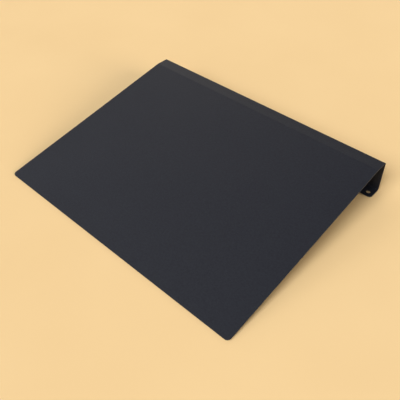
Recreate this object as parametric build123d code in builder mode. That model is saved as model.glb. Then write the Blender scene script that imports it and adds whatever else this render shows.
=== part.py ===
from build123d import *
import os
from math import atan2, cos, degrees, sin

# Sloped desk board. One sheet of steel is folded four times over: a wide top that climbs gently
# from the desk, a narrow level ledge along its rear edge, an upright leg, and a foot flange that
# turns forward under the top. Self-adhesive rubber pads, all cut to one pattern, carry it: three
# under the flange and three under the front edge, where their front lower edges meet the desk.
#
# Frame: origin on the desk under the middle of the board, +X across it, +Y towards the raised
# rear edge, +Z up. Left and right are those of a person who sits at the front edge.
# Millimetres throughout.

# Folded sheet
board_width = 450.0
board_depth = 350.0  # front edge to the outer face of the leg
rear_height = 56.5  # desk to the ledge
front_height = 2.0  # desk to the upper rim of the front edge
ledge_depth = 23.0  # crease to the outer face of the leg
flange_depth = 23.0  # outer face of the leg to the flange's free edge
sheet = 1.6
bend_radius = 1.2  # inside radius of the two square bends
crease_radius = 3.0  # inside radius of the shallow bend between top and ledge
front_corner_radius = 6.0
flange_corner_radius = 5.0
rim_radius = 0.3  # rounding of every cut rim

# Round holes through the flange, one near each end
hole_diameter = 6.5
hole_inset = 9.0  # hole centre to the flange's end, and to its free edge

# Rubber pads and the film that bonds each one
pad_length = 50.0
pad_width = 12.0
pad_rubber = 1.3
pad_film = 0.2
pad_corner_radius = 2.5
pad_rim_radius = 0.4
pad_spacing = 165.0  # middle pad to each outer pad

# Derived sizes
front = -board_depth / 2
rear = board_depth / 2
crease = (rear - ledge_depth, rear_height)
slope = atan2(rear_height - front_height, crease[0] - front)
pad_thickness = pad_rubber + pad_film
square_bend = bend_radius + sheet
flange_edge = rear - flange_depth

# The sheet's lower front rim, from which the underside of the top climbs
underside_y = front + sheet * sin(slope)
underside_z = front_height - sheet * cos(slope)

# Distance along the underside at which a pad's rounded front edge comes down to the desk
reach = (pad_rim_radius + (pad_thickness - pad_rim_radius) * cos(slope) - underside_z) / sin(slope)
front_pad_centre = reach - pad_rim_radius + pad_width / 2


def folded_board():
    """The whole folded sheet, with its rounded corners and the two flange holes."""
    with BuildPart() as board:
        with BuildSketch(Plane.YZ):
            with BuildLine():
                FilletPolyline(
                    (front, front_height),
                    crease,
                    (rear, rear_height),
                    (rear, pad_thickness),
                    (flange_edge, pad_thickness),
                    radius=[crease_radius + sheet, square_bend, square_bend],
                )
                offset(amount=sheet, side=Side.RIGHT)
            make_face()
        extrude(amount=board_width / 2, both=True)

        # Plan corners: the short edges of the two free ends of the sheet
        flange_end = board.faces().filter_by(Axis.Y).sort_by(SortBy.AREA)[0]
        fillet(flange_end.edges().sort_by(SortBy.LENGTH)[:2], flange_corner_radius)
        front_end = board.faces().sort_by(Axis.Y)[0]
        fillet(front_end.edges().sort_by(SortBy.LENGTH)[:2], front_corner_radius)

        # Each rim runs tangent all the way round the sheet, so one edge of it takes the rest
        front_end = board.faces().sort_by(Axis.Y)[0]
        fillet(front_end.edges().sort_by(SortBy.LENGTH)[-2:], rim_radius)

        hole_x = board_width / 2 - hole_inset
        with Locations(
            (-hole_x, flange_edge + hole_inset, pad_thickness + sheet),
            (hole_x, flange_edge + hole_inset, pad_thickness + sheet),
        ):
            Hole(hole_diameter / 2, depth=sheet)
    return board


def rubber_pad(seat):
    """A pad that hangs below its seat plane by the thickness of the film."""
    with BuildPart() as pad:
        with BuildSketch(seat.offset(-pad_film)):
            RectangleRounded(pad_length, pad_width, pad_corner_radius)
        extrude(amount=-pad_rubber)
        fillet(pad.faces().sort_by(Axis.Z)[0].edges(), pad_rim_radius)
    return pad


def adhesive_film(seat):
    """The double-sided film between a pad and the sheet."""
    with BuildPart() as film:
        with BuildSketch(seat):
            RectangleRounded(pad_length, pad_width, pad_corner_radius)
        extrude(amount=-pad_film)
    return film


def front_seat(x):
    """Where a front pad is bonded, on the sloping underside of the top."""
    origin = (
        x,
        underside_y + front_pad_centre * cos(slope),
        underside_z + front_pad_centre * sin(slope),
    )
    return Plane(origin=origin, x_dir=(1, 0, 0), z_dir=(0, -sin(slope), cos(slope)))


def rear_seat(x):
    """Where a rear pad is bonded, on the underside of the flange."""
    return Plane(origin=(x, rear - flange_depth / 2, pad_thickness))


def save(piece, name):
    """Labels a finished piece and writes it as its own file."""
    piece.part.label = name
    export_step(piece.part, f"parts/{name}.step")


os.makedirs("parts", exist_ok=True)
save(folded_board(), "folded_board")
for row, seat_at in (("front", front_seat), ("rear", rear_seat)):
    for side, x in (("left", -pad_spacing), ("middle", 0), ("right", pad_spacing)):
        save(rubber_pad(seat_at(x)), f"{row}_{side}_rubber_pad")
        save(adhesive_film(seat_at(x)), f"{row}_{side}_adhesive_film")

print(f"slope {degrees(slope):.3f} degrees, front pad centre {front_pad_centre:.3f} mm along it")
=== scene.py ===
from math import atan2, cos, dist, exp, pi, radians, sin, tan

import bmesh
import bpy
from mathutils import Matrix, Vector


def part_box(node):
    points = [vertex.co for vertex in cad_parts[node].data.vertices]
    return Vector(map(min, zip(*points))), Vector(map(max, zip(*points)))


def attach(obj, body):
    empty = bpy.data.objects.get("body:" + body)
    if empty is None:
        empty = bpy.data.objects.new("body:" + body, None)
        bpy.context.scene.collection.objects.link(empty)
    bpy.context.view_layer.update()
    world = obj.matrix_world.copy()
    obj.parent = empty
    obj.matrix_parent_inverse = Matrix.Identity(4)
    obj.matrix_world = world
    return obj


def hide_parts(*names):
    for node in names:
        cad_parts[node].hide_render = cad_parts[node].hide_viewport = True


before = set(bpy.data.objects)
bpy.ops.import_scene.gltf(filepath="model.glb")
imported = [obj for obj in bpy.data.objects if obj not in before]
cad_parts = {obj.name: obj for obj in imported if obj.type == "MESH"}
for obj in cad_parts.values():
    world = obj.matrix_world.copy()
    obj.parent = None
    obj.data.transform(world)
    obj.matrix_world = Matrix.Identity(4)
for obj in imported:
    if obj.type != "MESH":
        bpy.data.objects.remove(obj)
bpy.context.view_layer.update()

# A sloped desk board: one steel sheet, folded, powder coated black, on six stuck-on rubber pads.
# Sizes here are millimetres in the row frame, and become metres where a vertex is made.
MM = 0.001

# The folded sheet, as the design has it
board_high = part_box("folded_board")[1]
half_width = board_high.x / MM
rear = board_high.y / MM
ledge_height = board_high.z / MM
front = -rear
front_height = 2.0
ledge_depth = 23.0
flange_depth = 23.0
flange_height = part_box("rear_middle_adhesive_film")[1].z / MM
sheet = 1.6
crease_radius = 3.0
bend_radius = 1.2
front_corner_radius = 6.0
flange_corner_radius = 5.0
rim_radius = 0.3
hole_radius = 3.25
hole_inset = 9.0

# What folding and its own weight do to a real sheet
bend_swell = 0.12  # how far the inside of a bend would swell out at the very end of the sheet
panel_sag = 0.25  # how far the middle of the top hangs below a straight line

# The rubber pads
pad_length = 50.0
pad_width = 12.0
pad_rubber = 1.3
pad_film = 0.2
pad_corner_radius = 2.5
pad_rim_radius = 0.4
rib_pitch = 1.6
rib_depth = 0.25
rib_margin = 1.2  # plain strip round the ribs
rib_fade = 0.8  # from there to their full depth

# How many steps round a corner, from a face to the middle of its rim, and from rib to rib
corner_steps = 10
rim_steps = 4
rib_steps = 8

# Spacing of the grid's columns and rows over each part of the sheet, and of a pad's columns
broad_columns = 10
near_hole_columns = 2
end_columns = 1.5
slope_rows = 8
leg_rows = 7
flange_rows = 3
hole_grid = 1
bend_turn = radians(8)  # from one row to the next round a bend
pad_columns = 1.5
pad_end_columns = 0.5

hole_patch = 4.0  # half the side of the square of grid that leads into each hole
band_margin = 12.0  # from a hole to the columns that stay straight where the ends are rounded


def spaced(start, end, step):
    """Values from start to end, both included, in even steps of about the one asked for."""
    count = max(1, round((end - start) / step))
    return [start + (end - start) * k / count for k in range(count + 1)]


def joined(*lists):
    """Several runs of values as one rising list, with shared ends kept once."""
    values = []
    for run in lists:
        values += run if not values else run[1:]
    return values


# ---------------------------------------------------------------------------------------------
# Plates: one mesh routine for the sheet and for the pads
# ---------------------------------------------------------------------------------------------


def end_rows(radius, half, rim):
    """Rows across a rounded end: how far in each is, its half length, and its turn round the corner."""
    rows = []
    for k in range(corner_steps):
        turn = pi / 2 * k / corner_steps
        inward = radius - (radius - rim) * cos(turn)
        reach = half - radius + (radius - rim) * sin(turn)
        rows.append((inward, reach, turn))
    return rows


def rim_profile(thickness, rim):
    """Points down a rolled rim, as (how far out, how high), between the top face and the bottom."""
    upper = []
    for k in range(1, rim_steps + 1):
        turn = pi / 2 * k / rim_steps
        upper.append((rim * sin(turn), thickness / 2 - rim + rim * cos(turn)))
    lower = [(out, -height) for out, height in reversed(upper)]
    return upper + lower


def close_ring(bm, upper, lower):
    """Quads between two closed rings of vertices."""
    count = len(upper)
    for k in range(count):
        bm.faces.new((upper[k - 1], upper[k], lower[k], lower[k - 1]))


def roll_rim(bm, outline, place, thickness, rim):
    """Closes the gap between the two faces round an outline of (x, s, outward, top, bottom)."""
    above = [point[3] for point in outline]
    for out, height in rim_profile(thickness, rim):
        ring = []
        for x, s, outward, _, _ in outline:
            ring.append(bm.verts.new(place(x + out * outward[0], s + out * outward[1], height)))
        close_ring(bm, above, ring)
        above = ring
    close_ring(bm, above, [point[4] for point in outline])


def pierce(bm, grid, columns, rows, hole, place, thickness, rim):
    """Leads the square patch round a hole into its circle on both faces, and rolls the hole's rim.

    Gives back the cells of the grid that the patch takes the place of.
    """
    cx, cs, half, radius = hole
    left, right = [columns.index(cx + side * half) for side in (-1, 1)]
    near, far = [rows.index(cs + side * half) for side in (-1, 1)]
    patch = [(i, near) for i in range(left, right)]
    patch += [(right, j) for j in range(near, far)]
    patch += [(i, far) for i in range(right, left, -1)]
    patch += [(left, j) for j in range(far, near, -1)]
    first_corner = -3 * pi / 4  # where the patch's near left corner lies, seen from the hole
    outline = []
    for k in range(len(patch)):
        turn = first_corner + 2 * pi * k / len(patch)
        x = cx + (radius + rim) * cos(turn)
        s = cs + (radius + rim) * sin(turn)
        top = bm.verts.new(place(x, s, thickness / 2))
        bottom = bm.verts.new(place(x, s, -thickness / 2))
        outline.append((x, s, (-cos(turn), -sin(turn)), top, bottom))
    for face in (0, 1):
        close_ring(bm, [grid[cell][face] for cell in patch], [point[3 + face] for point in outline])
    roll_rim(bm, outline, place, thickness, rim)
    return {(i, j) for i in range(left, right) for j in range(near, far)}


def plate(name, place, half, length, thickness, rim, radii, columns, rows, band, holes=()):
    """A plate with rounded corners, rolled rims and round holes, each point put where place says.

    x runs across it from its middle, s along it from its near edge, and h through it from
    mid-thickness. columns are x values up to the rim and rows the s values between the rounded
    ends. Only columns beyond band draw in where an end is rounded.
    """
    bm = bmesh.new()
    near_radius, far_radius = radii
    near_rows = end_rows(near_radius, half, rim)
    far_rows = end_rows(far_radius, half, rim)
    lines = [(s, reach, (sin(turn), -cos(turn))) for s, reach, turn in near_rows]
    lines += [(s, half - rim, (1, 0)) for s in rows]
    lines += [(length - s, reach, (sin(turn), cos(turn))) for s, reach, turn in reversed(far_rows)]

    grid = {}
    spots = {}
    for j, (s, reach, _) in enumerate(lines):
        squeeze = (reach - band) / (half - rim - band)
        for i, column in enumerate(columns):
            x = column
            if abs(column) > band:
                x = (band + (abs(column) - band) * squeeze) * (1 if column > 0 else -1)
            spots[i, j] = (x, s)
            grid[i, j] = [bm.verts.new(place(x, s, h)) for h in (thickness / 2, -thickness / 2)]

    all_rows = [line[0] for line in lines]
    opened = set()
    for hole in holes:
        opened |= pierce(bm, grid, columns, all_rows, hole, place, thickness, rim)
    for i in range(len(columns) - 1):
        for j in range(len(lines) - 1):
            if (i, j) not in opened:
                cell = ((i, j), (i + 1, j), (i + 1, j + 1), (i, j + 1))
                for face in (0, 1):
                    bm.faces.new([grid[corner][face] for corner in cell])

    last_i = len(columns) - 1
    last_j = len(lines) - 1
    outline = [(i, 0, (0, -1)) for i in range(last_i + 1)]
    outline += [(last_i, j, lines[j][2]) for j in range(1, last_j)]
    outline += [(i, last_j, (0, 1)) for i in range(last_i, -1, -1)]
    outline += [(0, j, (-lines[j][2][0], lines[j][2][1])) for j in range(last_j - 1, 0, -1)]
    outline = [(*spots[i, j], outward, *grid[i, j]) for i, j, outward in outline]
    roll_rim(bm, outline, place, thickness, rim)

    # The loose vertices are those of the grid inside a hole's patch
    loose = [vert for vert in bm.verts if not vert.link_faces]
    bmesh.ops.delete(bm, geom=loose, context="VERTS")
    bmesh.ops.recalc_face_normals(bm, faces=bm.faces)
    mesh = bpy.data.meshes.new(name)
    bm.to_mesh(mesh)
    bm.free()
    mesh.shade_smooth()
    piece = bpy.data.objects.new(name, mesh)
    bpy.context.scene.collection.objects.link(piece)

    # The largest faces set the normals, so flat ones look flat up to their rims
    weighted = piece.modifiers.new("flat_faces_lead", "WEIGHTED_NORMAL")
    weighted.weight = 100
    return piece


# ---------------------------------------------------------------------------------------------
# The folded sheet
# ---------------------------------------------------------------------------------------------


def stretches(corners, outer_radii):
    """A folded strip's straight runs and bends, in order, measured along its middle surface.

    A run starts at its "at" and has no radius. A bend turns about its "at", clockwise.
    """
    headings = [atan2(b[1] - a[1], b[0] - a[0]) for a, b in zip(corners, corners[1:])]
    turns = [(a - b) % (2 * pi) for a, b in zip(headings, headings[1:])] + [0]
    setbacks = [radius * tan(turn / 2) for radius, turn in zip([*outer_radii, 0], turns)]
    y, z = corners[0]
    y += sheet / 2 * sin(headings[0])
    z -= sheet / 2 * cos(headings[0])
    found = []
    s = 0
    for k, heading in enumerate(headings):
        run = dist(corners[k], corners[k + 1]) - setbacks[k] - (setbacks[k - 1] if k else 0)
        found.append({"start": s, "length": run, "at": (y, z), "heading": heading, "radius": None})
        y += run * cos(heading)
        z += run * sin(heading)
        s += run
        if k < len(outer_radii):
            radius = outer_radii[k] - sheet / 2
            centre = (y + radius * sin(heading), z - radius * cos(heading))
            arc = radius * turns[k]
            bend = {"start": s, "length": arc, "at": centre, "heading": heading, "radius": radius}
            found.append(bend)
            y = centre[0] - radius * sin(heading - turns[k])
            z = centre[1] + radius * cos(heading - turns[k])
            s += arc
    return found


outer_corners = [
    (front, front_height),
    (rear - ledge_depth, ledge_height),
    (rear, ledge_height),
    (rear, flange_height),
    (rear - flange_depth, flange_height),
]
slope = atan2(ledge_height - front_height, rear - ledge_depth - front)
strip = stretches(outer_corners, [crease_radius + sheet, bend_radius + sheet, bend_radius + sheet])
strip_length = strip[-1]["start"] + strip[-1]["length"]


def on_sheet(x, s, h):
    """Where a point of the flat sheet goes once it is folded."""
    part = [stretch for stretch in strip if stretch["start"] <= max(s, 0)][-1]
    along = s - part["start"]
    share = along / part["length"]
    if part["radius"] is None:
        heading = part["heading"]
        y = part["at"][0] + along * cos(heading) - h * sin(heading)
        z = part["at"][1] + along * sin(heading) + h * cos(heading)
    else:
        heading = part["heading"] - along / part["radius"]
        y = part["at"][0] - (part["radius"] + h) * sin(heading)
        z = part["at"][1] + (part["radius"] + h) * cos(heading)
        # The squeezed inside of a bend swells out at its ends and the stretched outside draws in
        nearness = exp((abs(x) - half_width) / sheet)
        x -= (1 if x > 0 else -1) * bend_swell * nearness * sin(pi * share) ** 2 * 2 * h / sheet
    if part is strip[0]:
        z -= panel_sag * sin(pi * min(max(share, 0), 1)) ** 2
    return Vector((x, y, z)) * MM


def folded_board():
    """The sheet, cut with rounded corners and two holes, then folded."""
    hole_x = half_width - hole_inset
    hole_s = strip_length - hole_inset
    band = hole_x - band_margin
    edge = half_width - rim_radius
    half_columns = joined(
        spaced(0, band, broad_columns),
        spaced(band, hole_x - hole_patch, near_hole_columns),
        spaced(hole_x - hole_patch, hole_x + hole_patch, hole_grid),
        spaced(hole_x + hole_patch, edge, end_columns),
    )
    columns = [-x for x in reversed(half_columns[1:])] + half_columns
    rows = spaced(front_corner_radius, strip[0]["length"], slope_rows)
    for part in strip[1:-1]:
        step = leg_rows if part["radius"] is None else part["radius"] * bend_turn
        rows = joined(rows, spaced(part["start"], part["start"] + part["length"], step))
    rows = joined(
        rows,
        spaced(strip[-1]["start"], hole_s - hole_patch, flange_rows),
        spaced(hole_s - hole_patch, hole_s + hole_patch, hole_grid),
    )
    holes = [(side * hole_x, hole_s, hole_patch, hole_radius) for side in (-1, 1)]
    radii = (front_corner_radius, flange_corner_radius)
    return plate(
        "folded_steel_board", on_sheet, half_width, strip_length, sheet, rim_radius, radii,
        columns, rows, band, holes,
    )


# ---------------------------------------------------------------------------------------------
# The rubber pads
# ---------------------------------------------------------------------------------------------


def rubber_pad(name, film_node, tilt):
    """A moulded pad, ribbed along its underside, that hangs from its film at the steel's own tilt."""
    low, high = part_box(film_node)
    film_x, film_y, film_z = (low + high) / 2 / MM
    drop = (pad_film + pad_rubber) / 2

    def place(x, s, h):
        along = s - pad_width / 2
        if h <= -pad_rubber / 2:
            # The ribs fade out into a plain margin
            margin = min(pad_length / 2 - abs(x), pad_width / 2 - abs(along))
            fade = min(max((margin - rib_margin) / rib_fade, 0), 1)
            h += fade * rib_depth * sin(pi * along / rib_pitch) ** 2
        y = film_y + along * cos(tilt) - (h - drop) * sin(tilt)
        z = film_z + along * sin(tilt) + (h - drop) * cos(tilt)
        return Vector((film_x + x, y, z)) * MM

    band = pad_length / 2 - 2 * pad_corner_radius
    edge = pad_length / 2 - pad_rim_radius
    half_columns = joined(spaced(0, band, pad_columns), spaced(band, edge, pad_end_columns))
    columns = [-x for x in reversed(half_columns[1:])] + half_columns
    rows = spaced(pad_corner_radius, pad_width - pad_corner_radius, rib_pitch / rib_steps)
    radii = (pad_corner_radius, pad_corner_radius)
    return plate(
        name, place, pad_length / 2, pad_width, pad_rubber, pad_rim_radius, radii, columns, rows, band,
    )


# ---------------------------------------------------------------------------------------------
# Materials
# ---------------------------------------------------------------------------------------------

# Surface noises, as features to the metre
coat_grain = 1300
coat_peel = 420
coat_cloud = 9
rubber_pebble = 2600
rubber_dust = 140
film_blotch = 500
desk_tone = 5

# Colours, each from the darkest to the palest
# The coat's darker colour is painted shade for the hollows of its orange peel, not a colour of the
# paint
coat_colours_and_hollow_shade = ((0.0006, 0.0021, 0.0105), (0.0064, 0.0097, 0.0194))
rubber_colours = ((0.012, 0.012, 0.012), (0.042, 0.041, 0.039))
film_colours = ((0.55, 0.53, 0.47), (0.78, 0.77, 0.72))
desk_colours = ((0.89, 0.645, 0.34), (0.91, 0.665, 0.355))

# Roughness, each from the smoothest to the dullest
coat_roughness = (0.54, 0.61)
rubber_roughness = (0.68, 0.9)
film_roughness = (0.45, 0.7)
desk_roughness = 0.9

# How strongly the surface reflects, where 0.5 is plain paint
coat_specular = 0.5
rubber_specular = 0.35
desk_specular = 0.1

# Relief that is too fine to cut into a mesh
coat_peel_height = 0.1
coat_grain_height = 0.08
rubber_pebble_height = 0.1
film_blotch_height = 0.05


def new_material(name):
    """A material, its shader, a function that adds a node with its inputs, and one that links."""
    material = bpy.data.materials.new(name)
    material.use_nodes = True
    tree = material.node_tree
    shader = tree.nodes["Principled BSDF"]

    def add(kind, inputs=(), **settings):
        node = tree.nodes.new(kind)
        for key, value in settings.items():
            setattr(node, key, value)
        for key, value in dict(inputs).items():
            if isinstance(value, bpy.types.NodeSocket):
                tree.links.new(value, node.inputs[key])
            else:
                node.inputs[key].default_value = value
        return node

    def link(source, socket):
        tree.links.new(source, shader.inputs[socket])

    return material, shader, add, link


def noise(add, scale, octaves, harshness=0.5):
    """A grey noise over the object's own coordinates, with scale features to the metre."""
    where = add("ShaderNodeTexCoord").outputs["Object"]
    inputs = {"Vector": where, "Scale": scale, "Detail": octaves, "Roughness": harshness}
    return add("ShaderNodeTexNoise", inputs).outputs["Fac"]


def graded(add, value, low, high, colours):
    """A colour that runs between two as value runs from low to high."""
    node = add("ShaderNodeValToRGB", {"Fac": value})
    for stop, position, colour in zip(node.color_ramp.elements, (low, high), colours):
        stop.position = position
        stop.color = (*colour, 1)
    return node.outputs["Color"]


def ranged(add, value, low, high, span):
    """A number that runs over a span of values as value runs from low to high."""
    inputs = {"Value": value, "From Min": low, "From Max": high, "To Min": span[0], "To Max": span[1]}
    return add("ShaderNodeMapRange", inputs).outputs["Result"]


def bumped(add, height, strength, relief, under=None):
    """A bumpy surface normal, with relief in millimetres, on top of another one if given."""
    inputs = {"Height": height, "Strength": strength, "Distance": relief * MM}
    if under is not None:
        inputs["Normal"] = under
    return add("ShaderNodeBump", inputs).outputs["Normal"]


def powder_coat():
    """Matte black powder coat: a fine grain over a slight orange peel, with painted shade in its
    hollows.
    """
    material, shader, add, link = new_material("black_powder_coat")
    grain = noise(add, coat_grain, octaves=3)
    peel = noise(add, coat_peel, octaves=2)
    cloud = noise(add, coat_cloud, octaves=3)
    # The base colour darkens where the peel is low: painted shade in the hollows of the bump below
    link(graded(add, peel, low=0.3, high=0.7, colours=coat_colours_and_hollow_shade), "Base Color")
    shine = add("ShaderNodeMath", {0: cloud, 1: grain}, operation="MULTIPLY").outputs["Value"]
    link(ranged(add, shine, low=0.12, high=0.42, span=coat_roughness), "Roughness")
    shader.inputs["Specular IOR Level"].default_value = coat_specular
    coarse = bumped(add, peel, strength=0.4, relief=coat_peel_height)
    link(bumped(add, grain, strength=0.7, relief=coat_grain_height, under=coarse), "Normal")
    return material


def moulded_rubber():
    """Black rubber with a pebbled skin and a little dust."""
    material, shader, add, link = new_material("moulded_rubber")
    pebble = noise(add, rubber_pebble, octaves=1)
    dust = noise(add, rubber_dust, octaves=4, harshness=0.65)
    link(graded(add, dust, low=0.42, high=0.74, colours=rubber_colours), "Base Color")
    link(ranged(add, dust, low=0.3, high=0.8, span=rubber_roughness), "Roughness")
    shader.inputs["Specular IOR Level"].default_value = rubber_specular
    link(bumped(add, pebble, strength=0.5, relief=rubber_pebble_height), "Normal")
    return material


def adhesive_film():
    """Milky double-sided film with a fibrous, slightly blotchy edge."""
    material, _, add, link = new_material("adhesive_film")
    blotch = noise(add, film_blotch, octaves=3)
    link(graded(add, blotch, low=0.35, high=0.7, colours=film_colours), "Base Color")
    link(ranged(add, blotch, low=0.3, high=0.7, span=film_roughness), "Roughness")
    link(bumped(add, blotch, strength=0.2, relief=film_blotch_height), "Normal")
    return material


def pale_desk():
    """A plain, dull, pale wood tone that hardly varies."""
    material, shader, add, link = new_material("pale_desk")
    tone = noise(add, desk_tone, octaves=2)
    link(graded(add, tone, low=0.3, high=0.7, colours=desk_colours), "Base Color")
    shader.inputs["Roughness"].default_value = desk_roughness
    shader.inputs["Specular IOR Level"].default_value = desk_specular
    return material


def paint(piece, material):
    """Gives a piece one material, whatever it had."""
    piece.data.materials.clear()
    piece.data.materials.append(material)


# ---------------------------------------------------------------------------------------------
# Camera, floor and light
# ---------------------------------------------------------------------------------------------

# Where the camera stands, in metres, which way it looks, in degrees, and its lens
camera_place = (0.4344, -0.4377, 0.5608)
camera_heading = 43.57  # from +Y towards -X
camera_dip = 44.17  # below level
camera_roll = -1.26
camera_lens = 48.14
camera_sensor = 36

floor_reach = 6.0  # metres each way from the board

# Soft lights round the board: azimuth from +Y towards +X, elevation, how much light, and its tint
white = (1.0, 1.0, 1.0)
warm = (1.0, 0.90, 0.76)
soft_lights = {
    "front_key": (180, 42, 2.42, white),
    "right_fill": (90, 20, 1.94, warm),
    "front_left_top": (225, 66, 0.27, white),
    "left_fill": (270, 42, 0.30, white),
    "rear_left_fill": (315, 42, 0.26, warm),
    "rear_left_wall": (315, 20, 0.15, warm),
    "rear_wall": (0, 20, 0.13, warm),
}
soft_light_width = 30.0  # degrees of sky that each one takes up

# The walls of the room: how brightly they glow, and the sines of the elevations between which the
# glow dies away
wall_tint = (1.0, 0.94, 0.86)
wall_glow = 1.08
wall_fade = (0.12, 0.42)


def make_camera():
    """Looks from in front and to the right, down across the slope."""
    data = bpy.data.cameras.new("camera")
    data.sensor_width = camera_sensor
    data.lens = camera_lens
    camera = bpy.data.objects.new("camera", data)
    heading = Matrix.Rotation(radians(camera_heading), 4, "Z")
    pitch = Matrix.Rotation(radians(90 - camera_dip), 4, "X")
    roll = Matrix.Rotation(radians(camera_roll), 4, "Z")
    camera.matrix_world = Matrix.Translation(camera_place) @ heading @ pitch @ roll
    bpy.context.scene.collection.objects.link(camera)
    bpy.context.scene.camera = camera


def make_floor():
    """A plain pale desk top."""
    mesh = bpy.data.meshes.new("floor")
    signs = ((-1, -1), (1, -1), (1, 1), (-1, 1))
    mesh.from_pydata([(x * floor_reach, y * floor_reach, 0) for x, y in signs], [], [(0, 1, 2, 3)])
    floor = bpy.data.objects.new("floor", mesh)
    bpy.context.scene.collection.objects.link(floor)
    paint(floor, pale_desk())


def make_lights():
    """Wide, soft lights round the board, none of them close enough to leave a pool on the desk."""
    for name, (azimuth, elevation, power, tint) in soft_lights.items():
        data = bpy.data.lights.new(name, "SUN")
        data.angle = radians(soft_light_width)
        data.energy = power
        data.color = tint
        light = bpy.data.objects.new(name, data)
        turn = radians(azimuth)
        rise = radians(elevation)
        towards = Vector((sin(turn) * cos(rise), cos(turn) * cos(rise), sin(rise)))
        light.rotation_euler = towards.to_track_quat("Z", "Y").to_euler()
        bpy.context.scene.collection.objects.link(light)


def make_walls():
    """A room whose pale walls fade into an unlit ceiling."""
    world = bpy.data.worlds.new("room")
    bpy.context.scene.world = world
    world.use_nodes = True
    tree = world.node_tree
    direction = tree.nodes.new("ShaderNodeTexCoord")
    height = tree.nodes.new("ShaderNodeSeparateXYZ")
    fade = tree.nodes.new("ShaderNodeMapRange")
    fade.interpolation_type = "SMOOTHSTEP"
    for socket, value in zip(("From Min", "From Max", "To Min", "To Max"), (*wall_fade, wall_glow, 0)):
        fade.inputs[socket].default_value = value
    tree.links.new(direction.outputs["Generated"], height.inputs[0])
    tree.links.new(height.outputs["Z"], fade.inputs["Value"])
    background = tree.nodes["Background"]
    background.inputs["Color"].default_value = (*wall_tint, 1)
    tree.links.new(fade.outputs["Result"], background.inputs["Strength"])


bpy.context.scene.view_settings.view_transform = "Standard"
make_camera()
make_floor()
make_lights()
make_walls()

coat = powder_coat()
rubber = moulded_rubber()
film = adhesive_film()

board = folded_board()
paint(board, coat)
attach(board, "root")
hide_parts("folded_board")

for row, tilt in (("front", slope), ("rear", 0)):
    for side in ("left", "middle", "right"):
        node = f"{row}_{side}_rubber_pad"
        film_node = f"{row}_{side}_adhesive_film"
        pad = rubber_pad(f"{row}_{side}_ribbed_pad", film_node, tilt)
        paint(pad, rubber)
        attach(pad, "root")
        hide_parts(node)
        paint(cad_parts[film_node], film)
